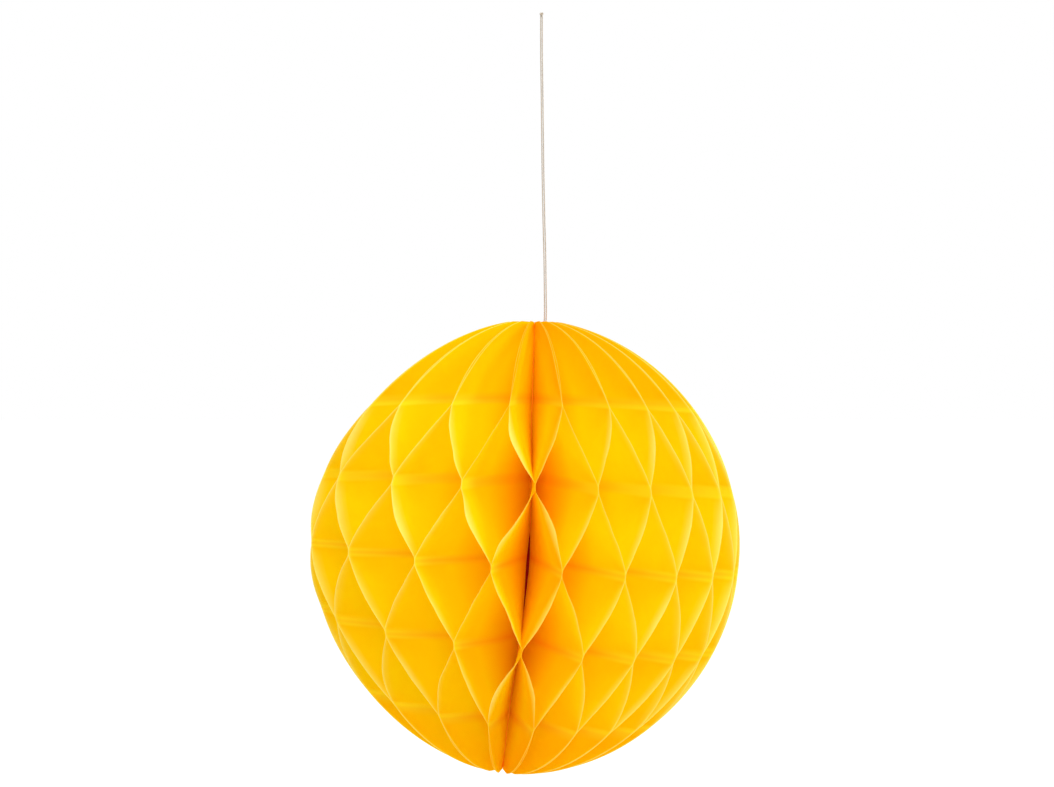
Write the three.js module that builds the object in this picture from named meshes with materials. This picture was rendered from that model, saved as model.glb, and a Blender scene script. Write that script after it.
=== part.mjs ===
// A hanging honeycomb ball of yellow tissue paper, in millimetres, +Z up.
// Half-disc sheets are glued to each other in staggered stripes, bound along their straight edges and
// opened into a full turn round that spine. The origin is the point that the string hangs from.
import * as THREE from 'three';

// Sheets, as cut and stacked.
const disc_radius = 50; // half disc that each sheet is cut to
const bound_margin = 2.8; // strip along the straight edge that the binding takes up
const tip_cut = 0.8; // how much of each corner of the half disc is cut away, along the spine
const sheet_thickness = 0.12;
const glue_gap = 0.06; // room between two sheets at a glue stripe
const fold_count = 40; // glue planes round the ball, with a sheet from each plane to the next
const end_sheets = 2; // first and last sheet of the stack, face to face in the fold beside the seam

// Glue stripes, across the spine.
const glue_pitch = 17.2; // from one row of stripes to the next, along the spine
const glue_stripe = 1.2; // width of a stripe
const middle_row = -2.2; // height of the row nearest the middle
const panel_curl = 0.05; // how far a panel bends between stripes: 0 is straight, 1 a full S
const draw_share = 0.73; // soft tissue draws in this much as far along the spine as stiff paper

// The fan, opened by hand, so its folds aren't even. Angles in degrees.
const seam_azimuth = 1.3; // front seam, to the right of the front
const crowding_right = 19.1; // folds drawn from the left to the right
const crowding_front = 7.3; // folds drawn from the back to the front
const crowding_sides = -4.7; // folds drawn from the front and back to both sides
const roll = 4.1; // the spine's top leans to the right
const lean_back = 0.9; // the spine's top leans away from the front
const spine_bow = 1.3; // the spine bends this far to the right at its middle
const core_bow = 1.1; // the core bends this much further to the right than the rims do
const core_bow_drop = 4; // the middle of that bend, below the ball's middle
const core_bow_reach = 31; // from the middle of that bend up and down to its ends

// The hollow core, the cord in it that the sheets are bound round, and the opening for the string.
const core_play = 0.06; // room past the radius at which the sheets' inner edges would touch
const string_hole_radius = 1.2; // opening between the sheets' corners at the top
const string_hole_right = 2.3; // that opening's middle, to the right of the spine
const string_hole_depth = 3.4; // how far down the opening narrows
const core_cord_diameter = 1.5;
const knot_clearance = 0.3; // between a knot of the binding cord and the sheets round it
const knot_length = 4.4;
const knot_depth = 4.6; // from the sheets' corners down to the middle of a knot

// The string, doubled, with both strands tied in one knot at the top.
const strand_diameter = 0.3;
const strand_spread = 0.4; // between the strands' middles where they enter the ball
const strand_near = 0.34; // between the strands' middles at the top knot
const hanging_knot_radius = 0.42;
const hanging_knot_length = 1.1;
const hanging_knot_gap = 0.2; // between the knot and the strands that come out of it
const strand_steps = 38; // steps of each strand's tube
const ball_drop = 117.5; // from the hanging point down to the ball's middle
const ball_left = 5.1; // the ball's middle, left of the hanging point
const ball_front = 0.8; // the ball's middle, in front of the hanging point

// Route that the two strands share, from the top knot down into the core. Points chosen by hand.
const string_route = [
  [0, 0, -hanging_knot_length - hanging_knot_gap],
  [0, 0, -6],
  [0.02, 0, -10.4],
  [0.08, 0, -14.8],
  [0.15, 0, -19.2],
  [0.2, 0, -24],
  [0.25, 0, -28.4],
  [0.3, 0, -32.8],
  [0.37, 0, -37.2],
  [0.45, 0, -41.6],
  [0.54, 0, -46],
  [0.66, 0, -50.4],
  [0.76, 0, -55],
  [0.82, 0, -59.5],
  [0.86, 0, -63.5],
  [0.88, 0, -66.4],
  [0.78, 0, -68.2],
  [0.42, 0, -69.4],
  [-0.1, 0, -70.3],
];

const paper = {
  color: '#ffd400',
  roughness: 0.85,
  metalness: 0,
};
const cotton = {
  color: '#e6dccb',
  roughness: 0.9,
  metalness: 0,
};
const dyed_cotton = {
  color: '#b4561a',
  roughness: 0.9,
  metalness: 0,
};

const turn = 2 * Math.PI;
const radians = THREE.MathUtils.degToRad;
const sheet_pitch = sheet_thickness + glue_gap;
const spine_half = disc_radius - tip_cut;
const first_row = Math.ceil((-spine_half - middle_row) / glue_pitch);
const last_row = Math.floor((spine_half - middle_row) / glue_pitch);

// Azimuth of a place in the fan. Place 0 is the front seam, and fold_count places make a full turn.
function azimuth(place) {
  const a = (turn * place) / fold_count;
  const uneven = crowding_right * (Math.cos(a) - 1) + crowding_front * Math.sin(a)
    + crowding_sides * Math.sin(2 * a);
  return a + radians(seam_azimuth + uneven);
}

// Angle between two glue planes, measured around a place in the fan.
function fold_angle(place) {
  return azimuth(place + 0.5) - azimuth(place - 0.5);
}

function sheets_in_fold(fold) {
  return fold === 0 ? end_sheets : 1;
}

// Smallest radius at which every fold still holds its sheets side by side.
function tightest_radius() {
  let radius = 0;
  for (let fold = 0; fold < fold_count; fold += 1) {
    const angle = azimuth(fold + 1) - azimuth(fold);
    radius = Math.max(radius, (sheets_in_fold(fold) * sheet_pitch) / angle);
  }
  return radius;
}

const core_radius = tightest_radius() + core_play;

function outer_radius(height) {
  return Math.sqrt(disc_radius ** 2 - height ** 2) - bound_margin;
}

// Inner edge of a sheet: the core, or at the top the far side of the string's opening where that is wider.
function inner_radius(height, place) {
  const angle = azimuth(place);
  const aside = string_hole_right * Math.cos(angle);
  if (Math.sin(angle) < 0 || Math.abs(aside) > string_hole_radius) return core_radius;
  const far_side = string_hole_right * Math.sin(angle) + Math.sqrt(string_hole_radius ** 2 - aside ** 2);
  const into_hole = (height - spine_half + string_hole_depth) / string_hole_depth;
  const widest = Math.max(core_radius, far_side);
  return THREE.MathUtils.lerp(core_radius, widest, THREE.MathUtils.clamp(into_hole, 0, 1));
}

function row_height(row) {
  return middle_row + row * glue_pitch;
}

// Where a panel is between its two glue planes: 1 on the odd plane, 0 on the even one, flat at each stripe.
// Past the first and last stripes a sheet is free, and stays on the plane that it is glued to there.
function zigzag(height) {
  const glued = THREE.MathUtils.clamp(height, row_height(first_row), row_height(last_row));
  const rows = (glued - middle_row) / glue_pitch;
  const ramp = Math.abs(THREE.MathUtils.euclideanModulo(rows, 2) - 1);
  const half_stripe = glue_stripe / glue_pitch / 2;
  const share = THREE.MathUtils.clamp((ramp - half_stripe) / (1 - 2 * half_stripe), 0, 1);
  return THREE.MathUtils.lerp(share, THREE.MathUtils.smoothstep(share, 0, 1), panel_curl);
}

// The spine's middle line bows to the right between the poles.
function spine_offset(height) {
  return spine_bow * (1 - (height / disc_radius) ** 2);
}

// How much further the core bows than the rims.
function core_offset(height) {
  return core_bow * Math.max(0, 1 - ((height + core_bow_drop) / core_bow_reach) ** 2);
}

// How steeply the bowed spine turns back to the left at a height. The sheets stay square to it.
function spine_slope(height) {
  return (2 * spine_bow * height) / disc_radius ** 2;
}

// A point of the fan. Where the folds spread, the paper has to swing further, so it draws in along the spine.
function fan_point(place, radius, height, sideways) {
  const angle = azimuth(place);
  const draw = (draw_share * radius * fold_angle(place)) / glue_pitch;
  const right = radius * Math.sin(angle);
  const core_share = 1 - radius / outer_radius(height);
  const across = new THREE.Vector3(Math.cos(angle), Math.sin(angle), 0).multiplyScalar(sideways);
  return new THREE.Vector3(
    right + spine_offset(height) + core_share * core_offset(height),
    -radius * Math.cos(angle),
    height * Math.sqrt(1 - draw ** 2) + right * spine_slope(height),
  ).add(across);
}

// Heights at which a sheet has points: both sides of each stripe, one between, and a few towards the poles.
function sheet_heights() {
  const edges = [];
  for (let row = first_row; row <= last_row; row += 1) {
    edges.push(row_height(row) - glue_stripe / 2, row_height(row) + glue_stripe / 2);
  }
  const inside = edges.filter((height) => Math.abs(height) < spine_half);
  const stops = [-spine_half, ...inside, spine_half];
  const heights = [stops[0]];
  for (let i = 1; i < stops.length; i += 1) {
    const from = Math.asin(stops[i - 1] / disc_radius);
    const to = Math.asin(stops[i] / disc_radius);
    const wide = stops[i] - stops[i - 1] > 1.5 * glue_stripe;
    const at_pole = i === 1 || i === stops.length - 1;
    const parts = wide ? (at_pole ? 4 : 2) : 1;
    for (let part = 1; part <= parts; part += 1) {
      heights.push(disc_radius * Math.sin(from + ((to - from) * part) / parts));
    }
  }
  return heights;
}

// A closed thin body from a grid of points, with one side shifted from the other.
function grid_body(columns, rows, point) {
  const positions = [];
  for (let side = 0; side < 2; side += 1) {
    for (let row = 0; row <= rows; row += 1) {
      for (let column = 0; column <= columns; column += 1) {
        positions.push(...point(column, row, side).toArray());
      }
    }
  }
  const at = (column, row, side) => (side * (rows + 1) + row) * (columns + 1) + column;
  const faces = [];
  const quad = (a, b, c, d) => faces.push(a, b, c, a, c, d);
  for (let row = 0; row < rows; row += 1) {
    for (let column = 0; column < columns; column += 1) {
      const right = column + 1;
      const up = row + 1;
      quad(at(column, row, 0), at(right, row, 0), at(right, up, 0), at(column, up, 0));
      quad(at(column, row, 1), at(column, up, 1), at(right, up, 1), at(right, row, 1));
    }
    quad(at(0, row, 0), at(0, row + 1, 0), at(0, row + 1, 1), at(0, row, 1));
    quad(at(columns, row, 0), at(columns, row, 1), at(columns, row + 1, 1), at(columns, row + 1, 0));
  }
  for (let column = 0; column < columns; column += 1) {
    const right = column + 1;
    quad(at(column, 0, 0), at(column, 0, 1), at(right, 0, 1), at(right, 0, 0));
    quad(at(column, rows, 0), at(right, rows, 0), at(right, rows, 1), at(column, rows, 1));
  }
  const geometry = new THREE.BufferGeometry();
  geometry.setAttribute('position', new THREE.Float32BufferAttribute(positions, 3));
  geometry.setIndex(faces);
  geometry.computeVertexNormals();
  return geometry;
}

// One sheet of a fold. Layer tells the sheets of a fold apart, from left to right.
function sheet_geometry(fold, layer) {
  const heights = sheet_heights();
  const layers = sheets_in_fold(fold);
  const shares = [0, 0.62, 1]; // places across the sheet, from its inner edge to its rim
  const swing = layers * sheet_pitch;
  const point = (column, row, side) => {
    const height = heights[row];
    const wave = fold % 2 === 0 ? zigzag(height) : 1 - zigzag(height);
    const inner = inner_radius(height, fold + wave);
    const radius = THREE.MathUtils.lerp(inner, outer_radius(height), shares[column]);
    const middle = (layer + 0.5) * sheet_pitch - wave * swing;
    const face = (side === 0 ? -1 : 1) * (sheet_thickness / 2);
    return fan_point(fold + wave, radius, height, middle + face);
  };
  return grid_body(shares.length - 1, heights.length - 1, point);
}

// A closed round body whose radius changes along a line of middles.
function swelling_tube(middles, radii, sides) {
  const positions = [];
  middles.forEach((middle, i) => {
    for (let side = 0; side < sides; side += 1) {
      const angle = (turn * side) / sides;
      positions.push(middle.x + radii[i] * Math.cos(angle), middle.y + radii[i] * Math.sin(angle), middle.z);
    }
  });
  const last = middles.length - 1;
  positions.push(...middles[0].toArray(), ...middles[last].toArray());
  const low = middles.length * sides;
  const faces = [];
  for (let side = 0; side < sides; side += 1) {
    const next = (side + 1) % sides;
    for (let i = 0; i < last; i += 1) {
      const a = i * sides + side;
      const b = i * sides + next;
      faces.push(a, b, b + sides, a, b + sides, a + sides);
    }
    faces.push(low, next, side);
    faces.push(low + 1, last * sides + side, last * sides + next);
  }
  const geometry = new THREE.BufferGeometry();
  geometry.setAttribute('position', new THREE.Float32BufferAttribute(positions, 3));
  geometry.setIndex(faces);
  geometry.computeVertexNormals();
  return geometry;
}

// Binding cord along the bowed spine, with a knot near each pole that fills the core.
function core_cord_geometry() {
  const knot_radius = core_radius - knot_clearance;
  const knot_middle = spine_half - knot_depth;
  const middles = [];
  const radii = [];
  const add = (height, radius) => {
    middles.push(new THREE.Vector3(spine_offset(height) + core_offset(height), 0, height));
    radii.push(radius);
  };
  const knot_steps = 6;
  const add_knot = (middle) => {
    for (let step = 0; step <= knot_steps; step += 1) {
      const along = (2 * step) / knot_steps - 1;
      const bulge = Math.sqrt(Math.max(0, 1 - along ** 2));
      const radius = Math.max(core_cord_diameter / 2, knot_radius * bulge);
      add(middle + (along * knot_length) / 2, radius);
    }
  };
  const cord_steps = 12;
  const reach = knot_middle - knot_length / 2;
  add_knot(-knot_middle);
  for (let step = 1; step < cord_steps; step += 1) {
    add(reach * ((2 * step) / cord_steps - 1), core_cord_diameter / 2);
  }
  add_knot(knot_middle);
  return swelling_tube(middles, radii, 12);
}

// One strand of the doubled string. Side is -1 for the left strand and 1 for the right one.
function strand_geometry(side) {
  const top = string_route[0][2];
  const bottom = string_route[string_route.length - 1][2];
  const points = string_route.map(([x, y, z]) => {
    const down = (z - top) / (bottom - top);
    const apart = THREE.MathUtils.lerp(strand_near, strand_spread, down);
    return new THREE.Vector3(x + (side * apart) / 2, y, z);
  });
  const section = new THREE.Shape();
  const sides = 8;
  for (let i = 0; i < sides; i += 1) {
    const angle = (turn * i) / sides;
    const x = (strand_diameter / 2) * Math.cos(angle);
    const y = (strand_diameter / 2) * Math.sin(angle);
    if (i === 0) section.moveTo(x, y);
    else section.lineTo(x, y);
  }
  section.closePath();
  return new THREE.ExtrudeGeometry(section, {
    steps: strand_steps,
    extrudePath: new THREE.CatmullRomCurve3(points),
    curveSegments: 1,
  });
}

// The knot that joins both strands at the top, a rounded barrel whose top is the hanging point.
function hanging_knot_geometry() {
  const profile = [];
  const steps = 8;
  for (let step = 0; step <= steps; step += 1) {
    const angle = Math.PI * (step / steps - 0.5);
    const radius = step === 0 || step === steps ? 0 : hanging_knot_radius * Math.cos(angle) ** 0.8;
    profile.push(new THREE.Vector2(radius, (hanging_knot_length / 2) * (Math.sin(angle) - 1)));
  }
  return new THREE.LatheGeometry(profile, 12).rotateX(Math.PI / 2);
}

function named_mesh(name, geometry, finish) {
  const mesh = new THREE.Mesh(geometry, new THREE.MeshStandardMaterial(finish));
  mesh.name = name;
  return mesh;
}

const ball = new THREE.Group();
let sheet_number = 0;
for (let fold = 0; fold < fold_count; fold += 1) {
  for (let layer = 0; layer < sheets_in_fold(fold); layer += 1) {
    sheet_number += 1;
    const name = `sheet_${String(sheet_number).padStart(2, '0')}`;
    ball.add(named_mesh(name, sheet_geometry(fold, layer), paper));
  }
}
ball.add(named_mesh('core_cord', core_cord_geometry(), dyed_cotton));
ball.rotation.set(radians(-lean_back), radians(roll), 0, 'YXZ');
ball.position.set(-ball_left, -ball_front, -ball_drop);

const hanging_ball = new THREE.Group();
hanging_ball.add(ball);
hanging_ball.add(named_mesh('string_left', strand_geometry(-1), cotton));
hanging_ball.add(named_mesh('string_right', strand_geometry(1), cotton));
hanging_ball.add(named_mesh('hanging_knot', hanging_knot_geometry(), cotton));

export default hanging_ball;
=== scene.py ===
# %% [markdown]
# # A hanging honeycomb ball of tissue paper
#
# The real thing is a stack of half-disc tissue sheets. Thin stripes of glue join each sheet to the next,
# and the stripes are staggered from one pair to the next. Opened into a full turn, the stack becomes a
# ball of diamond-shaped cells. This script dresses the plain model of that ball: it gives each sheet its
# fine surface, the string its twist, and both of them their materials.

# %% Start
import math

import bpy
from mathutils import Matrix, Vector


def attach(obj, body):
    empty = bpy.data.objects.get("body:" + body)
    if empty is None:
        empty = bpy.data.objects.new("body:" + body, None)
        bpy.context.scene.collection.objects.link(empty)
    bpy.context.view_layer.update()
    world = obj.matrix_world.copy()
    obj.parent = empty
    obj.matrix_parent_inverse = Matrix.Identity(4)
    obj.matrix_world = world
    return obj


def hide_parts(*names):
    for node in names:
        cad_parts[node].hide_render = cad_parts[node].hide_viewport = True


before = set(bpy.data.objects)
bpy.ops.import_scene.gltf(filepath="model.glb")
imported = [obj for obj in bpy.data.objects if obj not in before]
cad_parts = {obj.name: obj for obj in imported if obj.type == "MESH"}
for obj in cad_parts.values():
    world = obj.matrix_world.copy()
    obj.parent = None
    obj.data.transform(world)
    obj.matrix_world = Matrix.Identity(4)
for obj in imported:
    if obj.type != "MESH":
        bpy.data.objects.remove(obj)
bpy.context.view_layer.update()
scene = bpy.context.scene
MM = 0.001
BODY = "root"


# %% [markdown]
# ## The sizes of the fan
#
# These are the sizes that the plain model was made with, apart from four: the pitch of the sheets, the
# radius of the core and of its tips, and the glue stripe. Real tissue is thinner than the plain model's
# sheets, so the sheets lie closer together here and reach further in. The stripes are as wide as they look.
# Lengths are in metres and angles in radians. The origin is the point that the string hangs from, so the
# ball lies below it.

# %% Sizes of the sheets and the fan
DISC_RADIUS = 50 * MM
BOUND_MARGIN = 2.8 * MM
TIP_CUT = 0.8 * MM
SPINE_HALF = DISC_RADIUS - TIP_CUT
SHEET_PITCH = 0.05 * MM
FOLD_COUNT = 40
END_SHEETS = 2
GLUE_PITCH = 17.2 * MM
GLUE_STRIPE = 1.6 * MM
MIDDLE_ROW = -2.2 * MM
PANEL_CURL = 0.05
DRAW_SHARE = 0.73
CORE_RADIUS = 1.2 * MM
TIP_RADIUS = 0.5 * MM
TIP_DEPTH = 3.4 * MM
STRING_HOLE_RADIUS = 1.2 * MM
STRING_HOLE_RIGHT = 2.3 * MM
SPINE_BOW = 1.3 * MM
CORE_BOW = 1.1 * MM
CORE_BOW_DROP = 4 * MM
CORE_BOW_REACH = 31 * MM
FIRST_ROW = MIDDLE_ROW + GLUE_PITCH * math.ceil((-SPINE_HALF - MIDDLE_ROW) / GLUE_PITCH)
LAST_ROW = MIDDLE_ROW + GLUE_PITCH * math.floor((SPINE_HALF - MIDDLE_ROW) / GLUE_PITCH)
SEAM_ANGLE = math.radians(1.3)
CROWDING_RIGHT = math.radians(19.1)
CROWDING_FRONT = math.radians(7.3)
CROWDING_SIDES = math.radians(-4.7)
BALL_MIDDLE = Vector((-5.1, -0.8, -117.5)) * MM
BALL_ROLL = math.radians(4.1)
BALL_LEAN = math.radians(0.9)
BALL_PLACE = (Matrix.Translation(BALL_MIDDLE) @ Matrix.Rotation(BALL_ROLL, 4, "Y")
              @ Matrix.Rotation(-BALL_LEAN, 4, "X"))


# %% [markdown]
# ## The camera
#
# The camera is level and about 42 cm from the ball, which is near enough for the front cells to look a
# little larger than the ones at the rim. It aims above the ball's middle, because the picture also holds the
# string.

# %% Camera
PICTURE_WIDTH = 1054  # in pixels
SENSOR = 36  # in millimetres, as the lens is
CAMERA_DISTANCE = 0.42
PIXELS_PER_METRE = 4540  # at the ball's middle
AIM_RIGHT = 1.9 * MM
AIM_UP = 33.35 * MM
camera_data = bpy.data.cameras.new("camera")
camera_data.sensor_width = SENSOR
camera_data.lens = SENSOR * PIXELS_PER_METRE * CAMERA_DISTANCE / PICTURE_WIDTH
camera = bpy.data.objects.new("camera", camera_data)
camera.location = BALL_MIDDLE + Vector((AIM_RIGHT, -CAMERA_DISTANCE, AIM_UP))
camera.rotation_euler = (math.pi / 2, 0, 0)
scene.collection.objects.link(camera)
scene.camera = camera
print("lens", round(camera_data.lens, 1), "mm")


# %% [markdown]
# ## Helpers
#
# Colours are written as they look on a screen, in sRGB, and one function turns them to the linear values
# that the renderer works with. One more function adds a node to a tree, sets it up and joins its inputs.

# %% Helpers
def linear(hex_colour):
    """A linear colour with alpha from an sRGB hex string."""
    parts = [int(hex_colour[i:i + 2], 16) / 255 for i in (1, 3, 5)]
    return [p / 12.92 if p <= 0.04045 else ((p + 0.055) / 1.055) ** 2.4 for p in parts] + [1]


def add_node(tree, kind, inputs=(), **settings):
    """Adds a node. Its inputs are values, nodes or sockets, in order or by name or number."""
    node = tree.nodes.new(kind)
    for name, value in settings.items():
        setattr(node, name, value)
    pairs = inputs.items() if isinstance(inputs, dict) else enumerate(inputs)
    for key, value in pairs:
        if isinstance(value, bpy.types.Node):
            value = value.outputs[0]
        if isinstance(value, bpy.types.NodeSocket):
            tree.links.new(value, node.inputs[key])
        else:
            node.inputs[key].default_value = value
    return node


def new_tree(name, numbers, whole):
    """A Geometry Nodes tree with named inputs. Gives the tree, its input node and its output node."""
    tree = bpy.data.node_groups.new(name, "GeometryNodeTree")
    tree.interface.new_socket("Geometry", in_out="INPUT", socket_type="NodeSocketGeometry")
    tree.interface.new_socket("Geometry", in_out="OUTPUT", socket_type="NodeSocketGeometry")
    for label in numbers:
        tree.interface.new_socket(label, in_out="INPUT", socket_type="NodeSocketFloat")
    for label in whole:
        tree.interface.new_socket(label, in_out="INPUT", socket_type="NodeSocketInt")
    tree.interface.new_socket("Material", in_out="INPUT", socket_type="NodeSocketMaterial")
    return tree, tree.nodes.new("NodeGroupInput"), tree.nodes.new("NodeGroupOutput")


def grown(name, tree, values, mesh=None):
    """A plain mesh object from a tree and its input values."""
    seed = bpy.data.objects.new(name + "_seed", mesh or bpy.data.meshes.new(name + "_seed"))
    scene.collection.objects.link(seed)
    modifier = seed.modifiers.new("grow", "NODES")
    modifier.node_group = tree
    for item in tree.interface.items_tree:
        if item.in_out == "INPUT" and item.name in values:
            modifier[item.identifier] = values[item.name]
    shape = bpy.data.meshes.new_from_object(seed.evaluated_get(bpy.context.evaluated_depsgraph_get()))
    shape.name = name
    bpy.data.objects.remove(seed)
    piece = bpy.data.objects.new(name, shape)
    scene.collection.objects.link(piece)
    return piece


def triangles(piece):
    """How many triangles a mesh piece has."""
    return sum(len(face.vertices) - 2 for face in piece.data.polygons)


# %% [markdown]
# ## The string's material
#
# The string is undyed cotton, spun into plies and twisted. Cotton scatters light softly and has no gloss.
# Its fibres run along the twist, so a fine stretched noise gives them a little bump and a warm unevenness.
# A real fibre is about 0.02 mm across. It is drawn 0.08 mm across, so that it can show at all.

# %% Cotton
FIBRE = 0.08 * MM
FIBRE_STRETCH = 0.3  # below 1, the noise is longer along the string than across it
cotton = bpy.data.materials.new("twisted undyed cotton")
cotton.use_nodes = True
nodes = cotton.node_tree
nodes.nodes.clear()
place = add_node(nodes, "ShaderNodeTexCoord").outputs["Object"]
along = add_node(nodes, "ShaderNodeMapping", {"Vector": place, "Scale": (1, 1, FIBRE_STRETCH)})
fibres = add_node(nodes, "ShaderNodeTexNoise", {"Vector": along, "Scale": 1 / FIBRE, "Detail": 3})
shade = add_node(nodes, "ShaderNodeMix", {0: fibres, 6: linear("#a89a88"), 7: linear("#d9cfc0")},
                 data_type="RGBA")
bump = add_node(nodes, "ShaderNodeBump", {"Strength": 0.4, "Distance": 0.05 * MM, "Height": fibres})
cotton_shader = add_node(nodes, "ShaderNodeBsdfPrincipled", {
    "Base Color": shade.outputs[2], "Roughness": 0.9, "Specular IOR Level": 0.2, "Normal": bump,
    "Sheen Weight": 0.3, "Sheen Roughness": 0.5})
add_node(nodes, "ShaderNodeOutputMaterial", {"Surface": cotton_shader})


# %% [markdown]
# ## The string
#
# One thread is doubled, so two strands run side by side from the ball to a small knot. The picture shows
# them close together at the top and a little apart near the ball. The route is a list of points given in
# millimetres, the same ones as in the plain model. Geometry Nodes sweep a lobed section along it and
# turn the section as it goes, which is how plies lie round each other in real string.

# %% Route of the string
STRAND_DIAMETER = 0.3 * MM
STRAND_SPREAD = 0.4 * MM
STRAND_NEAR = 0.34 * MM
STRING_ROUTE = [
    (0, 0, -1.3), (0, 0, -6), (0.02, 0, -10.4), (0.08, 0, -14.8), (0.15, 0, -19.2), (0.2, 0, -24),
    (0.25, 0, -28.4), (0.3, 0, -32.8), (0.37, 0, -37.2), (0.45, 0, -41.6), (0.54, 0, -46),
    (0.66, 0, -50.4), (0.76, 0, -55), (0.82, 0, -59.5), (0.86, 0, -63.5), (0.88, 0, -66.4),
    (0.78, 0, -68.2), (0.42, 0, -69.4), (-0.1, 0, -70.3),
]


def strand_route(side):
    """Points of one strand in metres, from the knot to the core. Side is -1 for left and 1 for right."""
    top, bottom = STRING_ROUTE[0][2], STRING_ROUTE[-1][2]
    points = []
    for x, y, z in STRING_ROUTE:
        down = (z - top) / (bottom - top)
        apart = STRAND_NEAR + (STRAND_SPREAD - STRAND_NEAR) * down
        points.append(Vector((x * MM + side * apart / 2, y * MM, z * MM)))
    return points


def smooth_line(points, parts):
    """More points on a smooth curve through the given ones."""
    ends = [2 * points[0] - points[1], *points, 2 * points[-1] - points[-2]]
    line = []
    for i in range(1, len(ends) - 2):
        a, b, c, d = ends[i - 1:i + 3]
        for part in range(parts):
            t = part / parts
            line.append(0.5 * (2 * b + (c - a) * t + (2 * a - 5 * b + 4 * c - d) * t ** 2
                               + (3 * b - a - 3 * c + d) * t ** 3))
    return line + [points[-1]]


def line_length(points):
    """Length of a line of points."""
    return sum((b - a).length for a, b in zip(points, points[1:]))


# %% A tree that sweeps twisted plies along a line
PLY_DEPTH = 0.1  # how deep the grooves between the plies are, as a share of the radius
END_SHARE = 0.1  # how thick a tapered end still is
thread_tree, given, made = new_tree(
    "twisted_thread", ["Diameter", "Ply Depth", "Turn Length", "Step", "End Taper"], ["Plies", "Corners"])
line = add_node(thread_tree, "GeometryNodeMeshToCurve", [given.outputs["Geometry"]])
line = add_node(thread_tree, "GeometryNodeResampleCurve", {"Curve": line, "Length": given.outputs["Step"]},
                mode="LENGTH")
distance = add_node(thread_tree, "GeometryNodeSplineParameter").outputs["Length"]
turns = add_node(thread_tree, "ShaderNodeMath", [distance, given.outputs["Turn Length"]],
                 operation="DIVIDE")
turned = add_node(thread_tree, "ShaderNodeMath", [turns, 2 * math.pi], operation="MULTIPLY")
line = add_node(thread_tree, "GeometryNodeSetCurveTilt", {"Curve": line, "Tilt": turned})
whole_length = add_node(thread_tree, "GeometryNodeSplineLength").outputs["Length"]
to_end = add_node(thread_tree, "ShaderNodeMath", [whole_length, distance], operation="SUBTRACT")
to_end = add_node(thread_tree, "ShaderNodeMath", [to_end, distance], operation="MINIMUM")
thickness = add_node(thread_tree, "ShaderNodeMapRange", [
    to_end, 0, given.outputs["End Taper"], END_SHARE, 1])
line = add_node(thread_tree, "GeometryNodeSetCurveRadius", {"Curve": line, "Radius": thickness})
section = add_node(thread_tree, "GeometryNodeCurvePrimitiveCircle", {
    "Resolution": given.outputs["Corners"]})
corner = add_node(thread_tree, "GeometryNodeInputPosition")
parts = add_node(thread_tree, "ShaderNodeSeparateXYZ", [corner])
around = add_node(thread_tree, "ShaderNodeMath", [parts.outputs[1], parts.outputs[0]], operation="ARCTAN2")
wave = add_node(thread_tree, "ShaderNodeMath", [around, given.outputs["Plies"]], operation="MULTIPLY")
wave = add_node(thread_tree, "ShaderNodeMath", [wave], operation="COSINE")
depth = add_node(thread_tree, "ShaderNodeMath", [wave, given.outputs["Ply Depth"], 1 - PLY_DEPTH],
                 operation="MULTIPLY_ADD")
half = add_node(thread_tree, "ShaderNodeMath", [given.outputs["Diameter"], 0.5], operation="MULTIPLY")
radius = add_node(thread_tree, "ShaderNodeMath", [depth, half], operation="MULTIPLY")
spot = add_node(thread_tree, "ShaderNodeVectorMath", [corner], operation="NORMALIZE")
spot = add_node(thread_tree, "ShaderNodeVectorMath", {0: spot, "Scale": radius}, operation="SCALE")
section = add_node(thread_tree, "GeometryNodeSetPosition", {"Geometry": section, "Position": spot})
thread = add_node(thread_tree, "GeometryNodeCurveToMesh",
                  {"Curve": line, "Profile Curve": section, "Fill Caps": True})
thread = add_node(thread_tree, "GeometryNodeRealizeInstances", [thread])
thread = add_node(thread_tree, "GeometryNodeSetMaterial",
                  {"Geometry": thread, "Material": given.outputs["Material"]})
thread_tree.links.new(thread.outputs[0], made.inputs[0])

# %% A thread of three plies
PLIES = 3
SECTION_CORNERS = 18
TURN_DIAMETERS = 4  # a ply goes once round the thread in this many diameters
STEPS_PER_DIAMETER = 3
BLUNT = 0.001 * MM  # the shortest taper, for an end that keeps its thickness


def twisted_thread(name, points, diameter, end_taper=BLUNT):
    """A piece of twisted cotton along a line of points. Its ends may thin out over a length."""
    mesh = bpy.data.meshes.new(name + "_line")
    mesh.from_pydata(points, [(i, i + 1) for i in range(len(points) - 1)], [])
    return grown(name, thread_tree, {
        "Diameter": diameter, "Ply Depth": PLY_DEPTH, "Turn Length": TURN_DIAMETERS * diameter,
        "Step": diameter / STEPS_PER_DIAMETER, "End Taper": end_taper,
        "Plies": PLIES, "Corners": SECTION_CORNERS, "Material": cotton}, mesh)


# %% The two strands
KNOT_REACH = 0.35 * MM  # how far each strand runs on into the knot
POINTS_PER_STRETCH = 6
strands = []
for side, name in ((-1, "string_left"), (1, "string_right")):
    points = strand_route(side)
    points[0] = points[0] + Vector((0, 0, KNOT_REACH))
    line_points = smooth_line(points, POINTS_PER_STRETCH)
    strand = twisted_thread(name + "_twist", line_points, STRAND_DIAMETER)
    strands.append((strand, name, line_points))
    print(strand.name, triangles(strand), "triangles,", round(line_length(line_points) / MM, 1), "mm long")

# %% [markdown]
# ## The hanging knot
#
# Both strands end in one overhand knot, under a millimetre wide. A trefoil is the closed form of that
# knot, so the same twisted thread is swept along a small trefoil, drawn in sideways until its turns touch.

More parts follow.
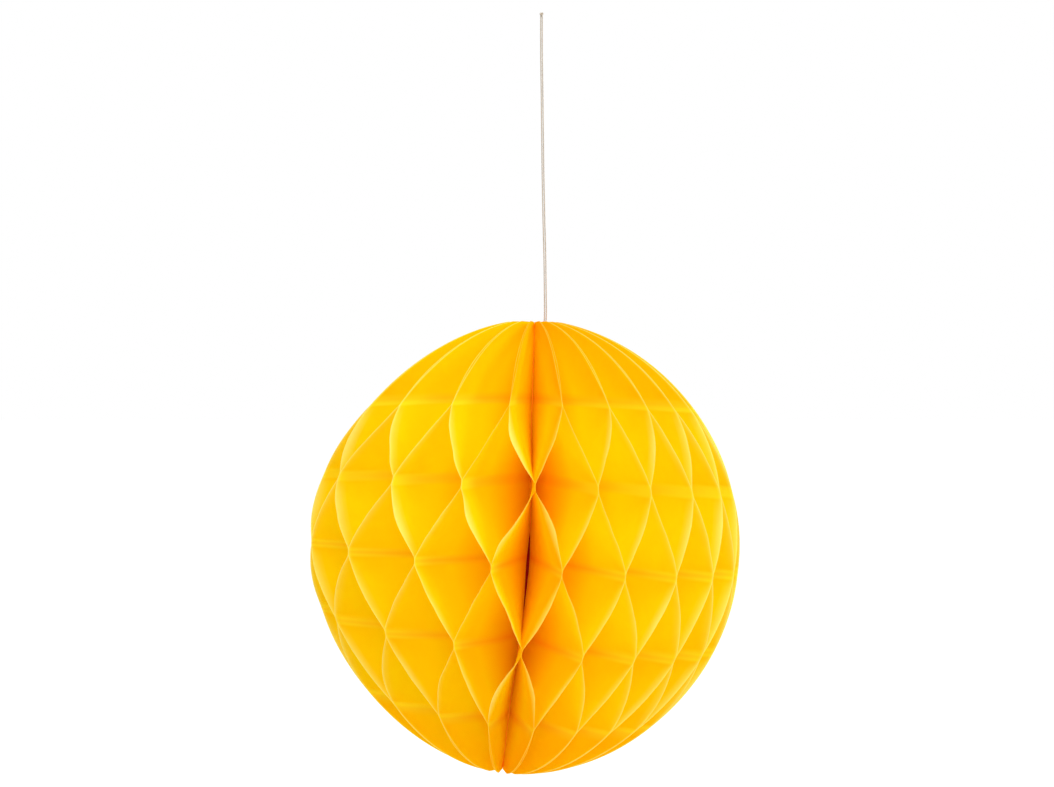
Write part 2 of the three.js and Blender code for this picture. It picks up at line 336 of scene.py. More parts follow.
# %% Hanging knot
KNOT_MIDDLE = Vector((0, 0, -0.5)) * MM
KNOT_SCALE = Vector((0.105, 0.168, 0.1519)) * MM  # across, front to back and up
KNOT_STEPS = 72
knot_line = []
for step in range(KNOT_STEPS + 1):
    t = 2 * math.pi * step / KNOT_STEPS
    knot_line.append(KNOT_MIDDLE + Vector((
        KNOT_SCALE.x * (math.sin(t) + 2 * math.sin(2 * t)),
        KNOT_SCALE.y * math.sin(3 * t),
        KNOT_SCALE.z * (math.cos(t) - 2 * math.cos(2 * t)),
    )))
hanging_knot = twisted_thread("overhand_knot", knot_line, STRAND_DIAMETER)
print("overhand_knot", triangles(hanging_knot), "triangles")

# %% The string declared
for strand, name, line_points in strands:
    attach(strand, BODY)
    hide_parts(name)
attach(hanging_knot, BODY)
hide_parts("hanging_knot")

# %% [markdown]
# ## Tissue paper
#
# The sheets are dyed tissue paper, machine-glazed on one side and dull on the other. Such paper is so
# thin that part of the light goes through it, and the rest is scattered without gloss. The light that
# gets deep into a cell has met yellow paper many times, and each time it loses green, so the cells turn
# orange inside by themselves. A diffuse shader mixed with a translucent one gives both. Light that is
# yellow already loses less each time than white light does, and three numbers can't say that, so the
# paper is written a little greener from 1 to 14 mm inside the rim. Pulp lies in soft clouds 2 to 3 mm
# across. The glue stripes are painted a little paler, as painted light that lifts the shade in them, and a
# thin dark line of painted shade lies where the paper folds in them. Where the rim curls out, the paper
# is painted paler as a highlight, and a painted highlight lies along the cut edge, where it catches the
# light.

# %% Tissue
CLOUD = 2.6 * MM
CREASE = 0.7 * MM
CLOUD_THIN = 0.3  # values of the noise between which the pulp goes from thin to thick
CLOUD_THICK = 0.7
THROUGH_SHARE = 0.38  # of the scattered light, how much comes out on the other side of the paper
TINTS_AND_PAINTED_LIGHT = (  # attribute that says where, strength and colour
    # The stripe tint is painted light that lifts the shade in the glue stripes, the dark fold tint is
    # painted shade in their folds, and the two pale rim tints are painted highlights on the lips and the cut
    # edge.
    ("inside", 1, "#fff60a"), ("glue", 0.9, "#fff02c"), ("fold_line", 0.15, "#f0a800"),
    ("lip", 1, "#ffee70"), ("rim", 1, "#fff780"),
)
tissue = bpy.data.materials.new("dyed tissue paper")
tissue.use_nodes = True
nodes = tissue.node_tree
nodes.nodes.clear()
paper = add_node(nodes, "ShaderNodeAttribute", attribute_name="paper_place").outputs["Vector"]
clouds = add_node(nodes, "ShaderNodeTexNoise", {"Vector": paper, "Scale": 1 / CLOUD, "Detail": 4,
                                                "Roughness": 0.6})
cloud_tint = add_node(nodes, "ShaderNodeMapRange", [clouds, CLOUD_THIN, CLOUD_THICK, 0, 1])
dyed = add_node(nodes, "ShaderNodeMix", {0: cloud_tint, 6: linear("#ffd608"), 7: linear("#ffdc08")},
                data_type="RGBA")
# Each tint is mixed into the dyed colour, so from here on that colour also carries the painted light,
# painted shade and painted highlights of the table.
for label, strength, colour in TINTS_AND_PAINTED_LIGHT:
    share = add_node(nodes, "ShaderNodeAttribute", attribute_name=label).outputs["Fac"]
    share = add_node(nodes, "ShaderNodeMath", [share, strength], operation="MULTIPLY")
    dyed = add_node(nodes, "ShaderNodeMix", {0: share, 6: dyed.outputs[2], 7: linear(colour)},
                    data_type="RGBA")
creases = add_node(nodes, "ShaderNodeTexNoise", {"Vector": paper, "Scale": 1 / CREASE, "Detail": 3})
paper_bump = add_node(nodes, "ShaderNodeBump", {"Strength": 0.2, "Distance": 0.1 * MM, "Height": creases})
front = add_node(nodes, "ShaderNodeBsdfDiffuse", {"Color": dyed.outputs[2], "Normal": paper_bump})
through = add_node(nodes, "ShaderNodeBsdfTranslucent", {"Color": dyed.outputs[2], "Normal": paper_bump})
tissue_shader = add_node(nodes, "ShaderNodeMixShader", [THROUGH_SHARE, front, through])
add_node(nodes, "ShaderNodeOutputMaterial", {"Surface": tissue_shader})


# %% [markdown]
# ## The law of the fan
#
# The fan was opened by hand, so its folds aren't even: they crowd on the right and spread on the left.
# A few smooth waves added to the even angle describe that. Each sheet lies between two glue planes, and
# goes from one to the other and back at each row of stripes. The paper doesn't stretch, so a sheet that
# swings far sideways draws in along the spine. Past the first and last stripes it is free, and stays beside
# the sheet that it is glued to there, so the caps of the ball show half as many folds as its middle.

# %% Law of the fan
def azimuth(fold):
    """Angle of a glue plane round the spine, 0 at the front."""
    even = 2 * math.pi * fold / FOLD_COUNT
    uneven = CROWDING_RIGHT * (math.cos(even) - 1) + CROWDING_FRONT * math.sin(even)
    return even + SEAM_ANGLE + uneven + CROWDING_SIDES * math.sin(2 * even)


def draw_in(fold):
    """How strongly the paper draws in at a glue plane, from how wide the folds beside it are."""
    return DRAW_SHARE * (azimuth(fold + 0.5) - azimuth(fold - 0.5)) / GLUE_PITCH


def sheets_in_fold(fold):
    """How many sheets lie in a fold. The first and the last of the stack share the fold at the seam."""
    return END_SHEETS if fold == 0 else 1


def core_middle(height):
    """A point of the core's middle line, which bows further to the right than the rims do."""
    spine = SPINE_BOW * (1 - (height / DISC_RADIUS) ** 2)
    core = CORE_BOW * max(0, 1 - ((height + CORE_BOW_DROP) / CORE_BOW_REACH) ** 2)
    return Vector((spine + core, 0, height))


def top_tip_radius(fold):
    """Where a sheet's inner edge ends at the top: near the spine, or past the string that is in its way."""
    angle = azimuth(fold + (fold + 1) % 2)
    aside = STRING_HOLE_RIGHT * math.cos(angle)
    if abs(aside) > STRING_HOLE_RADIUS or math.sin(angle) < 0:
        return TIP_RADIUS
    return STRING_HOLE_RIGHT * math.sin(angle) + math.sqrt(STRING_HOLE_RADIUS ** 2 - aside ** 2)


# %% [markdown]
# ## One sheet in Geometry Nodes
#
# A sheet starts as a flat grid. One side of the grid becomes the inner edge and the other the cut rim. The
# tree works out for each point how high it is along the spine, how far out it is, and how far it has
# swung between its two glue planes, and moves it there. Real tissue is never as regular as a formula, so
# seeded noise lets the planes wander, the panels bulge and the rim curl out in a lip. The bulges and the
# curls fade out at the glue stripes, so neighbouring sheets stay joined. Beside the seam the lips are
# larger. Deep in the seam the binding has parted, so the inner edges of the sheets there stand off the cord
# along one ragged stretch.

# %% Tree of a sheet, its inputs and its grid
FAN_SIZES = {
    "Disc Radius": DISC_RADIUS, "Bound Margin": BOUND_MARGIN, "Spine Half": SPINE_HALF,
    "Glue Pitch": GLUE_PITCH, "Glue Stripe": GLUE_STRIPE, "Middle Row": MIDDLE_ROW,
    "Panel Curl": PANEL_CURL, "Core Radius": CORE_RADIUS, "Bottom Tip Radius": TIP_RADIUS,
    "Tip Depth": TIP_DEPTH, "Spine Bow": SPINE_BOW, "Core Bow": CORE_BOW, "Core Bow Drop": CORE_BOW_DROP,
    "Core Bow Reach": CORE_BOW_REACH, "First Row": FIRST_ROW, "Last Row": LAST_ROW,
}
UNEVENNESS = {
    "Wander": math.radians(0.9), "Wander Length": 22 * MM,
    "Bulge": 0.06, "Bulge Length": 20 * MM, "Bulge Reach": 60 * MM,
    "Rim Curl": 0.05, "Rim Curl Length": 12 * MM, "Rim Curl Reach": 5 * MM,
    "Rim Wave": 0.03, "Rim Wave Length": 5 * MM, "Rim Wave Reach": 8 * MM,
    "Lip Length": 15 * MM, "Lip Reach": 3 * MM,
    "Flap": 0.05, "Flap Reach": 8 * MM,
}
FOLD_INPUTS = [
    "From Angle", "To Angle", "From Draw", "To Draw", "From Even", "Layer Start", "Layer Swing", "From Seed",
    "To Seed", "Sheet Seed", "Top Tip Radius", "Side", "Lower Side", "Lip", "Upper Lip", "Parted",
]
RIM_CROWDING = 1.5  # above 1, the grid's points crowd towards the rim
sheet_tree, given, made = new_tree(
    "tissue_sheet", [*FOLD_INPUTS, *FAN_SIZES, *UNEVENNESS], ["Points Across", "Points Along"])
get = given.outputs
T = sheet_tree
grid = add_node(T, "GeometryNodeMeshGrid", {
    "Size X": 1, "Size Y": 1, "Vertices X": get["Points Across"], "Vertices Y": get["Points Along"]})
spot = add_node(T, "ShaderNodeSeparateXYZ", [add_node(T, "GeometryNodeInputPosition")])
across = add_node(T, "ShaderNodeMath", [0.5, spot.outputs[0]], operation="SUBTRACT")
across = add_node(T, "ShaderNodeMath", [across, RIM_CROWDING], operation="POWER")
across = add_node(T, "ShaderNodeMath", [1, across], operation="SUBTRACT")

# %% Height along the spine and distance from it
GAP_MIDDLE = -6 * MM  # where the binding has parted
GAP_HALF = 9 * MM
RAGGED_LENGTH = 4 * MM  # size of the tatters of the parted edges
tip = add_node(T, "ShaderNodeMath", [get["Spine Half"], get["Disc Radius"]], operation="DIVIDE")
tip = add_node(T, "ShaderNodeMath", [tip], operation="ARCSINE")
sweep = add_node(T, "ShaderNodeMath", [spot.outputs[1], 2], operation="MULTIPLY")
sweep = add_node(T, "ShaderNodeMath", [sweep, tip], operation="MULTIPLY")
height = add_node(T, "ShaderNodeMath", [sweep], operation="SINE")
height = add_node(T, "ShaderNodeMath", [height, get["Disc Radius"]], operation="MULTIPLY")
outer = add_node(T, "ShaderNodeMath", [sweep], operation="COSINE")
outer = add_node(T, "ShaderNodeMath", [outer, get["Disc Radius"]], operation="MULTIPLY")
outer = add_node(T, "ShaderNodeMath", [outer, get["Bound Margin"]], operation="SUBTRACT")
tip_start = add_node(T, "ShaderNodeMath", [get["Spine Half"], get["Tip Depth"]], operation="SUBTRACT")
inner = add_node(T, "ShaderNodeMapRange", [
    height, tip_start, get["Spine Half"], get["Core Radius"], get["Top Tip Radius"]])
downward = add_node(T, "ShaderNodeMath", [height, -1], operation="MULTIPLY")
inner = add_node(T, "ShaderNodeMapRange", [
    downward, tip_start, get["Spine Half"], inner.outputs[0], get["Bottom Tip Radius"]])
parted = add_node(T, "ShaderNodeMath", [height, GAP_MIDDLE], operation="SUBTRACT")
parted = add_node(T, "ShaderNodeMath", [parted], operation="ABSOLUTE")
parted = add_node(T, "ShaderNodeMapRange", [parted, 0, GAP_HALF, 1, 0],
                  interpolation_type="SMOOTHSTEP")
ragged = add_node(T, "ShaderNodeCombineXYZ", [get["Sheet Seed"], height, 0])
ragged = add_node(T, "ShaderNodeTexNoise", {"Vector": ragged, "Scale": 1 / RAGGED_LENGTH, "Detail": 1})
parted = add_node(T, "ShaderNodeMath", [parted, ragged], operation="MULTIPLY")
parted = add_node(T, "ShaderNodeMath", [parted, get["Parted"]], operation="MULTIPLY")
inner = add_node(T, "ShaderNodeMath", [parted, inner])
radius = add_node(T, "ShaderNodeMix", {0: across, 2: inner, 3: outer})
depth = add_node(T, "ShaderNodeMath", [outer, radius], operation="SUBTRACT")
on_paper = add_node(T, "ShaderNodeCombineXYZ", [radius, height, 0])
on_rim = add_node(T, "ShaderNodeCombineXYZ", [0, height, 0])

# %% Swing between the two glue planes
glued = add_node(T, "ShaderNodeClamp", [height, get["First Row"], get["Last Row"]])
rows = add_node(T, "ShaderNodeMath", [glued, get["Middle Row"]], operation="SUBTRACT")
rows = add_node(T, "ShaderNodeMath", [rows, get["Glue Pitch"]], operation="DIVIDE")
past = add_node(T, "ShaderNodeMath", [height, glued], operation="SUBTRACT")
past = add_node(T, "ShaderNodeMath", [past], operation="ABSOLUTE")
ramp = add_node(T, "ShaderNodeMath", [rows, 2], operation="FLOORED_MODULO")
ramp = add_node(T, "ShaderNodeMath", [ramp, 1], operation="SUBTRACT")
ramp = add_node(T, "ShaderNodeMath", [ramp], operation="ABSOLUTE")
flat = add_node(T, "ShaderNodeMath", [get["Glue Stripe"], get["Glue Pitch"]], operation="DIVIDE")
flat = add_node(T, "ShaderNodeMath", [flat, 0.5], operation="MULTIPLY")
flat_end = add_node(T, "ShaderNodeMath", [1, flat], operation="SUBTRACT")
straight = add_node(T, "ShaderNodeMapRange", [ramp, flat, flat_end, 0, 1])
curved = add_node(T, "ShaderNodeMapRange", [ramp, flat, flat_end, 0, 1],
                  interpolation_type="SMOOTHSTEP")
swing = add_node(T, "ShaderNodeMix", {0: get["Panel Curl"], 2: straight, 3: curved})
swing_back = add_node(T, "ShaderNodeMath", [1, swing], operation="SUBTRACT")
free = add_node(T, "ShaderNodeMath", [swing, swing_back], operation="MULTIPLY")
free = add_node(T, "ShaderNodeMath", [free, 4], operation="MULTIPLY")  # 0 at a stripe, 1 between two
swing = add_node(T, "ShaderNodeMix", {0: get["From Even"], 2: swing_back, 3: swing})

# %% Angle, with glue planes that wander a little
wander_scale = add_node(T, "ShaderNodeMath", [1, get["Wander Length"]], operation="DIVIDE")
wanders = []
for seed in ("From Seed", "To Seed"):
    wanders.append(add_node(T, "ShaderNodeTexNoise", {
        "Vector": on_rim, "W": get[seed], "Scale": wander_scale, "Detail": 0,
    }, noise_dimensions="4D", normalize=False))
wander = add_node(T, "ShaderNodeMix", {0: swing, 2: wanders[0], 3: wanders[1]})
angle = add_node(T, "ShaderNodeMix", {0: swing, 2: get["From Angle"], 3: get["To Angle"]})
angle = add_node(T, "ShaderNodeMath", [wander, get["Wander"], angle], operation="MULTIPLY_ADD")
opening = add_node(T, "ShaderNodeMath", [get["To Angle"], get["From Angle"]], operation="SUBTRACT")
width = add_node(T, "ShaderNodeMath", [opening, radius], operation="MULTIPLY")
room = add_node(T, "ShaderNodeMath", [width, free], operation="MULTIPLY")

# %% Which edge of a cell a panel makes, the upper or the lower one
TURN_BLUR = 0.1  # both blurs keep the lips from changing in one step
LOWER_BLUR = 0.3
going_up = add_node(T, "ShaderNodeMath", [rows, 2], operation="FLOORED_MODULO")
going_up = add_node(T, "ShaderNodeMapRange", [going_up, 1 - TURN_BLUR, 1 + TURN_BLUR, -1, 1])
lower = add_node(T, "ShaderNodeMath", [going_up, get["Lower Side"]], operation="MULTIPLY")
lower = add_node(T, "ShaderNodeMapRange", [lower, -LOWER_BLUR, LOWER_BLUR, 0, 1])

# %% Bulges, and a rim that curls, waves and turns out in a lip
NOISE_SPAN = 0.6  # the noise seldom goes past this on either side of 0
LIP_LEAST = 0.2
sideways = add_node(T, "ShaderNodeMath", [swing, get["Layer Swing"]], operation="MULTIPLY")
sideways = add_node(T, "ShaderNodeMath", [get["Layer Start"], sideways], operation="SUBTRACT")
for label, where in (("Bulge", on_paper), ("Rim Curl", on_rim), ("Rim Wave", on_rim), ("Lip", on_rim)):
    scale = add_node(T, "ShaderNodeMath", [1, get[label + " Length"]], operation="DIVIDE")
    noise = add_node(T, "ShaderNodeTexNoise", {
        "Vector": where, "W": get["Sheet Seed"], "Scale": scale, "Detail": 1,
    }, noise_dimensions="4D", normalize=False)
    if label == "Lip":
        one_way = add_node(T, "ShaderNodeMapRange", [noise, -NOISE_SPAN, NOISE_SPAN, LIP_LEAST, 1])
        share = add_node(T, "ShaderNodeMapRange", [lower, 0, 1, get["Upper Lip"], 1])
        lip = add_node(T, "ShaderNodeMath", [one_way, share], operation="MULTIPLY")
        noise = add_node(T, "ShaderNodeMath", [lip, get["Side"]], operation="MULTIPLY")
    near_rim = add_node(T, "ShaderNodeMapRange", [depth, 0, get[label + " Reach"], 1, 0])
    near_rim = add_node(T, "ShaderNodeMath", [near_rim, 2], operation="POWER")
    amount = add_node(T, "ShaderNodeMath", [noise, get[label]], operation="MULTIPLY")
    amount = add_node(T, "ShaderNodeMath", [amount, near_rim], operation="MULTIPLY")
    sideways = add_node(T, "ShaderNodeMath", [amount, room, sideways], operation="MULTIPLY_ADD")

# %% Free ends that lean off their plane, and where the lips get a painted highlight
LIP_HIGHLIGHT_REACH = 2.2 * MM
flap = add_node(T, "ShaderNodeMapRange", [past, 0, get["Flap Reach"], 0, 1],
                interpolation_type="SMOOTHSTEP")
flap = add_node(T, "ShaderNodeMath", [flap, width], operation="MULTIPLY")
flap = add_node(T, "ShaderNodeMath", [flap, get["Flap"]], operation="MULTIPLY")
own_side = add_node(T, "ShaderNodeMapRange", [swing, 0, 1, 1, -1])
sideways = add_node(T, "ShaderNodeMath", [flap, own_side, sideways], operation="MULTIPLY_ADD")
# The paleness of a lip is a painted highlight: the paper is painted paler near a curled rim, most on the
# lower edges of cells and not at all at the stripes.
near_rim = add_node(T, "ShaderNodeMapRange", [depth, 0, LIP_HIGHLIGHT_REACH, 1, 0],
                    interpolation_type="SMOOTHSTEP")
lip = add_node(T, "ShaderNodeMath", [lip, near_rim], operation="MULTIPLY")
lip = add_node(T, "ShaderNodeMath", [lip, free], operation="MULTIPLY")

# %% Place round the spine, with the height that is left after drawing in
draw = add_node(T, "ShaderNodeMix", {0: swing, 2: get["From Draw"], 3: get["To Draw"]})
draw = add_node(T, "ShaderNodeMath", [draw, radius], operation="MULTIPLY")
draw = add_node(T, "ShaderNodeMath", [draw, draw], operation="MULTIPLY")
draw = add_node(T, "ShaderNodeMath", [1, draw], operation="SUBTRACT")
draw = add_node(T, "ShaderNodeMath", [draw], operation="SQRT")
rise = add_node(T, "ShaderNodeMath", [height, draw], operation="MULTIPLY")
backward = add_node(T, "ShaderNodeMath", [radius, -1], operation="MULTIPLY")
place = add_node(T, "ShaderNodeCombineXYZ", [sideways, backward, rise])
place = add_node(T, "ShaderNodeVectorRotate", {"Vector": place, "Angle": angle}, rotation_type="Z_AXIS")

# %% The bow of the spine and the further bow of the core
share = add_node(T, "ShaderNodeMath", [height, get["Disc Radius"]], operation="DIVIDE")
bowed = add_node(T, "ShaderNodeMath", [share, share], operation="MULTIPLY")
bowed = add_node(T, "ShaderNodeMath", [1, bowed], operation="SUBTRACT")
bowed = add_node(T, "ShaderNodeMath", [bowed, get["Spine Bow"]], operation="MULTIPLY")
slope = add_node(T, "ShaderNodeMath", [get["Spine Bow"], get["Disc Radius"]], operation="DIVIDE")
slope = add_node(T, "ShaderNodeMath", [slope, 2], operation="MULTIPLY")
slope = add_node(T, "ShaderNodeMath", [slope, share], operation="MULTIPLY")
right = add_node(T, "ShaderNodeSeparateXYZ", [place]).outputs[0]
lift = add_node(T, "ShaderNodeMath", [right, slope], operation="MULTIPLY")
core = add_node(T, "ShaderNodeMath", [height, get["Core Bow Drop"]])
core = add_node(T, "ShaderNodeMath", [core, get["Core Bow Reach"]], operation="DIVIDE")
core = add_node(T, "ShaderNodeMath", [core, core], operation="MULTIPLY")
core = add_node(T, "ShaderNodeMath", [1, core], operation="SUBTRACT")
core = add_node(T, "ShaderNodeMath", [core, 0], operation="MAXIMUM")
core = add_node(T, "ShaderNodeMath", [core, get["Core Bow"]], operation="MULTIPLY")
core_share = add_node(T, "ShaderNodeMath", [depth, outer], operation="DIVIDE")
bowed = add_node(T, "ShaderNodeMath", [core, core_share, bowed], operation="MULTIPLY_ADD")
place = add_node(T, "ShaderNodeVectorMath", [place, add_node(T, "ShaderNodeCombineXYZ", [bowed, 0, lift])])

# %% Where the glue stripes are, with their painted light, and the folds in them, with their painted shade
STRIPE_FADE = 1.6  # a stripe's colour ends at this many half stripes
FOLD_SHADE_WIDTH = 0.35 * MM
# The stripe mask marks where the paper is painted paler, as painted light that lifts the shade gathering in
# the glue stripes.
stripe_edge = add_node(T, "ShaderNodeMath", [flat, STRIPE_FADE], operation="MULTIPLY")
even_stripe = add_node(T, "ShaderNodeMapRange", [ramp, flat, stripe_edge, 1, 0])
odd_stripe_start = add_node(T, "ShaderNodeMath", [1, ramp], operation="SUBTRACT")
odd_stripe = add_node(T, "ShaderNodeMapRange", [odd_stripe_start, flat, stripe_edge, 1, 0])
stripe = add_node(T, "ShaderNodeMath", [even_stripe, odd_stripe], operation="MAXIMUM")
still_glued = add_node(T, "ShaderNodeMapRange", [past, 0, get["Glue Stripe"], 1, 0])
stripe = add_node(T, "ShaderNodeMath", [stripe, still_glued], operation="MULTIPLY")
# A thin line of painted shade runs along the middle of each stripe, where the paper folds.
to_fold = add_node(T, "ShaderNodeMath", [ramp, odd_stripe_start], operation="MINIMUM")
to_fold = add_node(T, "ShaderNodeMath", [to_fold, get["Glue Pitch"]], operation="MULTIPLY")
fold_line = add_node(T, "ShaderNodeMapRange", [to_fold, 0, FOLD_SHADE_WIDTH, 1, 0])
fold_line = add_node(T, "ShaderNodeMath", [fold_line, still_glued], operation="MULTIPLY")

# %% What the material reads, and the finished sheet
RIM_WIDTH = 0.36 * MM
INSIDE_START = 1 * MM
INSIDE_FULL = 14 * MM
rim_light = add_node(T, "ShaderNodeMapRange", [depth, 0, RIM_WIDTH, 1, 0])
inside_share = add_node(T, "ShaderNodeMapRange", [depth, INSIDE_START, INSIDE_FULL, 0, 1])
seeded = add_node(T, "ShaderNodeMath", [get["Sheet Seed"], DISC_RADIUS], operation="MULTIPLY")
on_pulp = add_node(T, "ShaderNodeCombineXYZ", [radius, height, seeded])
sheet = grid
for label, kind, value in (("paper_place", "FLOAT_VECTOR", on_pulp), ("glue", "FLOAT", stripe),
                           ("rim", "FLOAT", rim_light), ("lip", "FLOAT", lip),
                           ("inside", "FLOAT", inside_share), ("fold_line", "FLOAT", fold_line)):
    sheet = add_node(T, "GeometryNodeStoreNamedAttribute", {
        "Geometry": sheet, "Name": label, "Value": value,
    }, data_type=kind)
sheet = add_node(T, "GeometryNodeSetPosition", {"Geometry": sheet, "Position": place})
sheet = add_node(T, "GeometryNodeSetShadeSmooth", [sheet])
sheet = add_node(T, "GeometryNodeRealizeInstances", [sheet])
sheet = add_node(T, "GeometryNodeSetMaterial", {"Geometry": sheet, "Material": get["Material"]})
T.links.new(sheet.outputs[0], made.inputs[0])
print("sheet tree", len(T.nodes), "nodes")

# %% How far the rims curl out and the inner edges part
SEAM_FOLDS = (0, FOLD_COUNT - 1)
PARTED_FOLDS = (0, 1, FOLD_COUNT - 2, FOLD_COUNT - 1)
PARTED_DEPTH = 3.4 * MM
SEAM_LIP = 0.2
LEFT_LIP = 0.13
RIGHT_LIP = 0.07
UPPER_LIP = 0.35  # how much of a lip the upper edge of a cell has, away from the seam


def lip_inputs(fold):
    """What the tree is told about the rim and the inner edge of the sheets in one fold."""
    side = math.copysign(1, math.sin(azimuth(fold + 0.5)))
    lip = LEFT_LIP if fold > FOLD_COUNT / 2 else RIGHT_LIP
    return {
        "Side": side,
        "Lower Side": side if fold % 2 == 0 else -side,
        "Lip": SEAM_LIP if fold in SEAM_FOLDS else lip,
        "Upper Lip": 1.0 if fold in SEAM_FOLDS else UPPER_LIP,
        "Parted": PARTED_DEPTH if fold in PARTED_FOLDS else 0.0,
    }


# %% All the sheets
POINTS_ACROSS = 30
POINTS_ALONG = 220
sheets = []
for fold in range(FOLD_COUNT):
    for layer in range(sheets_in_fold(fold)):
        number = len(sheets) + 1
        piece = grown(f"tissue_{number:02d}", sheet_tree, {
            **FAN_SIZES, **UNEVENNESS, **lip_inputs(fold),
            "From Angle": azimuth(fold), "To Angle": azimuth(fold + 1),
            "From Draw": draw_in(fold), "To Draw": draw_in(fold + 1), "From Even": float(fold % 2 == 0),
            "Layer Start": (layer + 0.5) * SHEET_PITCH, "Layer Swing": sheets_in_fold(fold) * SHEET_PITCH,
            "Top Tip Radius": top_tip_radius(fold),
            "From Seed": float(fold), "To Seed": float((fold + 1) % FOLD_COUNT), "Sheet Seed": fold + 0.5,
            "Points Across": POINTS_ACROSS, "Points Along": POINTS_ALONG, "Material": tissue,
        })
        piece.data.transform(BALL_PLACE)
        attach(piece, BODY)
        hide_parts(f"sheet_{number:02d}")
        sheets.append(piece)
print(len(sheets), "sheets,", triangles(sheets[0]), "triangles each")

# %% [markdown]
# ## The binding cord
#
# The sheets' straight edges are bound round a cord along the spine, which shows only deep in the seam. It
# is a thicker twisted thread that thins out towards the poles, where the sheets' corners close over it.
# Most of it is a warm yellow. Near the middle, where the binding has parted, the cord is coloured dark red.

# %% Dyed cotton, yellow with a dark red stretch
GAP_FADE = 1.5 * MM
dyed_cotton = cotton.copy()
dyed_cotton.name = "twisted dyed cotton"
nodes = dyed_cotton.node_tree
for node in nodes.nodes:
    if node.bl_idname == "ShaderNodeMix":
        node.inputs[6].default_value = linear("#ffa800")
        node.inputs[7].default_value = linear("#ffc400")
        yellow = node.outputs[2]
    if node.bl_idname == "ShaderNodeBsdfPrincipled":
        cord_shader = node
place = add_node(nodes, "ShaderNodeTexCoord").outputs["Object"]
height = add_node(nodes, "ShaderNodeSeparateXYZ", [place]).outputs[2]
off = add_node(nodes, "ShaderNodeMath", [height, BALL_MIDDLE.z + GAP_MIDDLE], operation="SUBTRACT")
off = add_node(nodes, "ShaderNodeMath", [off], operation="ABSOLUTE")
parted = add_node(nodes, "ShaderNodeMapRange", [off, GAP_HALF - GAP_FADE, GAP_HALF, 1, 0])
two_colours = add_node(nodes, "ShaderNodeMix", {0: parted, 6: yellow, 7: linear("#8c0c08")},
                    data_type="RGBA")
nodes.links.new(two_colours.outputs[2], cord_shader.inputs["Base Color"])

# %% Binding cord
CORD_DIAMETER = 1.5 * MM
CORD_SETBACK = 0.3 * MM  # how far the cord ends inside the sheets' corners
CORD_REACH = SPINE_HALF - CORD_SETBACK
CORD_TAPER = 3.4 * MM
CORD_STEPS = 24
POINTS_PER_STEP = 4
cord_points = []
for step in range(CORD_STEPS + 1):
    cord_points.append(BALL_PLACE @ core_middle(CORD_REACH * (2 * step / CORD_STEPS - 1)))
cord_line = smooth_line(cord_points, POINTS_PER_STEP)
binding = twisted_thread("binding_cord", cord_line, CORD_DIAMETER, CORD_TAPER)
binding.data.materials.clear()
binding.data.materials.append(dyed_cotton)
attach(binding, BODY)
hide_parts("core_cord")
print(binding.name, triangles(binding), "triangles")

# %% [markdown]
# ## Floor, background and light
#
# The picture has a plain white background. The world is white where the camera sees it, and also for light
# that comes through the paper. Where it lights the paper from outside it is grey and almost even, a little
# brighter from the upper left. The floor lies well below the ball. It has a matt white face, plus a glow
# for the camera, so it reads as white and still keeps the ball's shadow. A large soft lamp on the right
# gives the shape, and two weaker ones light the top and the front.

# %% Floor
FLOOR_DROP = 0.3
FLOOR_SIZE = 30
FLOOR_GLOW = 0.52


def seen_rays(tree):
    """A node that is 1 for rays from the camera, off a gloss or through a sheet, and 0 for the others."""
    ray = add_node(tree, "ShaderNodeLightPath").outputs
    seen = ray["Is Camera Ray"]
    for kind in ("Is Glossy Ray", "Is Transmission Ray"):
        seen = add_node(tree, "ShaderNodeMath", [seen, ray[kind]], operation="MAXIMUM")
    return seen


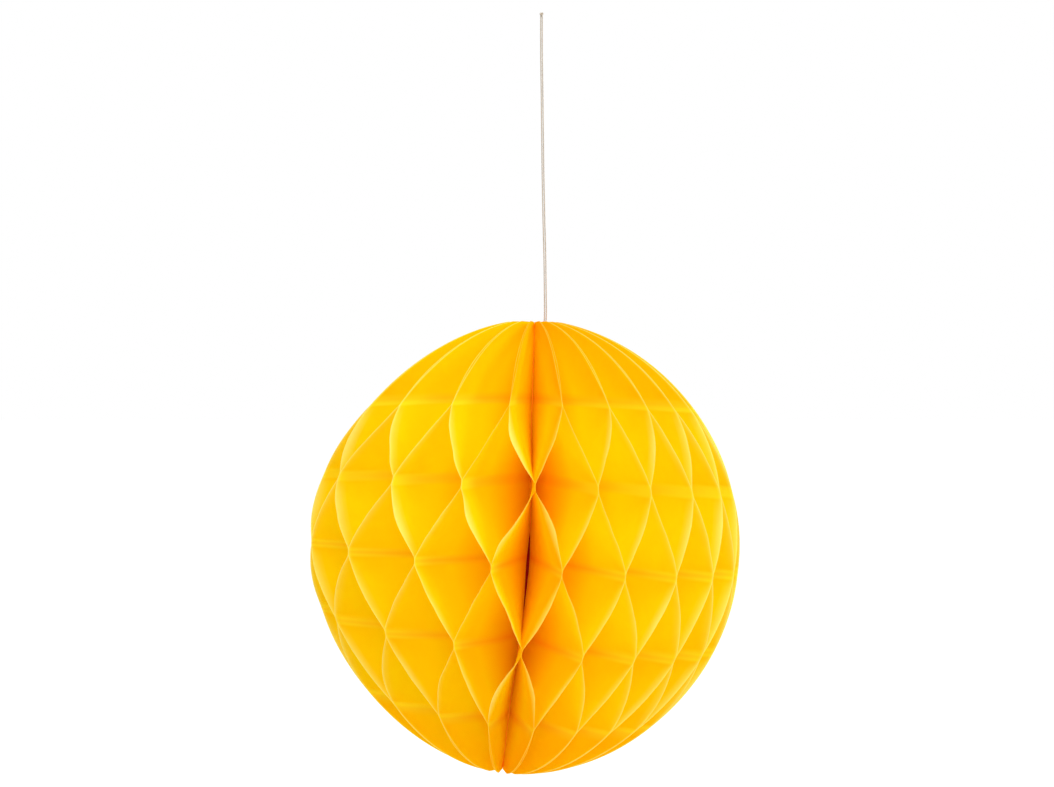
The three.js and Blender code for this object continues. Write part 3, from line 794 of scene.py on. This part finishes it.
floor_white = bpy.data.materials.new("matt white floor")
floor_white.use_nodes = True
nodes = floor_white.node_tree
nodes.nodes.clear()
matt = add_node(nodes, "ShaderNodeBsdfDiffuse", {"Color": linear("#e6e6e6")})
glow_level = add_node(nodes, "ShaderNodeMath", [seen_rays(nodes), FLOOR_GLOW], operation="MULTIPLY")
glow = add_node(nodes, "ShaderNodeEmission", {"Color": linear("#ffffff"), "Strength": glow_level})
both = add_node(nodes, "ShaderNodeAddShader", [matt, glow])
add_node(nodes, "ShaderNodeOutputMaterial", {"Surface": both})
floor_mesh = bpy.data.meshes.new("floor")
half = FLOOR_SIZE / 2
corners = [(x * half, y * half, -FLOOR_DROP) for x, y in ((-1, -1), (1, -1), (1, 1), (-1, 1))]
floor_mesh.from_pydata(corners, [], [(0, 1, 2, 3)])
floor = bpy.data.objects.new("floor", floor_mesh)
floor_mesh.materials.append(floor_white)
scene.collection.objects.link(floor)

# %% World
LIGHT_FROM_BELOW = 0.6
LIGHT_FROM_ABOVE = 0.68
BRIGHT_SIDE = (-0.5, 0, 0.87)  # direction that the room is brightest in
world = bpy.data.worlds.new("studio")
scene.world = world
world.use_nodes = True
nodes = world.node_tree
nodes.nodes.clear()
way = add_node(nodes, "ShaderNodeTexCoord").outputs["Generated"]
aim = add_node(nodes, "ShaderNodeVectorMath", [way, BRIGHT_SIDE], operation="DOT_PRODUCT").outputs["Value"]
lit = add_node(nodes, "ShaderNodeMapRange", [aim, -1, 1, LIGHT_FROM_BELOW, LIGHT_FROM_ABOVE])
level = add_node(nodes, "ShaderNodeMix", {0: seen_rays(nodes), 2: lit, 3: 1.0})
sky = add_node(nodes, "ShaderNodeBackground", {"Color": linear("#ffffff"), "Strength": level})
add_node(nodes, "ShaderNodeOutputWorld", {"Surface": sky})


# %% Lamps
LAMP_SIZE = 0.6
MOST_BOUNCES = 48  # light goes through and between many sheets before it is lost


def soft_lamp(name, spot, watts):
    """A square lamp at a place round the ball's middle, turned towards it."""
    data = bpy.data.lights.new(name, "AREA")
    data.size = LAMP_SIZE
    data.energy = watts
    lamp = bpy.data.objects.new(name, data)
    lamp.location = BALL_MIDDLE + Vector(spot)
    lamp.rotation_euler = (-Vector(spot)).to_track_quat("-Z", "Y").to_euler()
    scene.collection.objects.link(lamp)


soft_lamp("key", (0.9, -0.5, 0.6), 5.7)
soft_lamp("top", (0.12, -0.45, 1.1), 4)
soft_lamp("front", (0, -1.15, 0.3), 2.3)
scene.view_settings.view_transform = "Standard"
scene.cycles.max_bounces = MOST_BOUNCES
scene.cycles.diffuse_bounces = MOST_BOUNCES
scene.cycles.transmission_bounces = MOST_BOUNCES
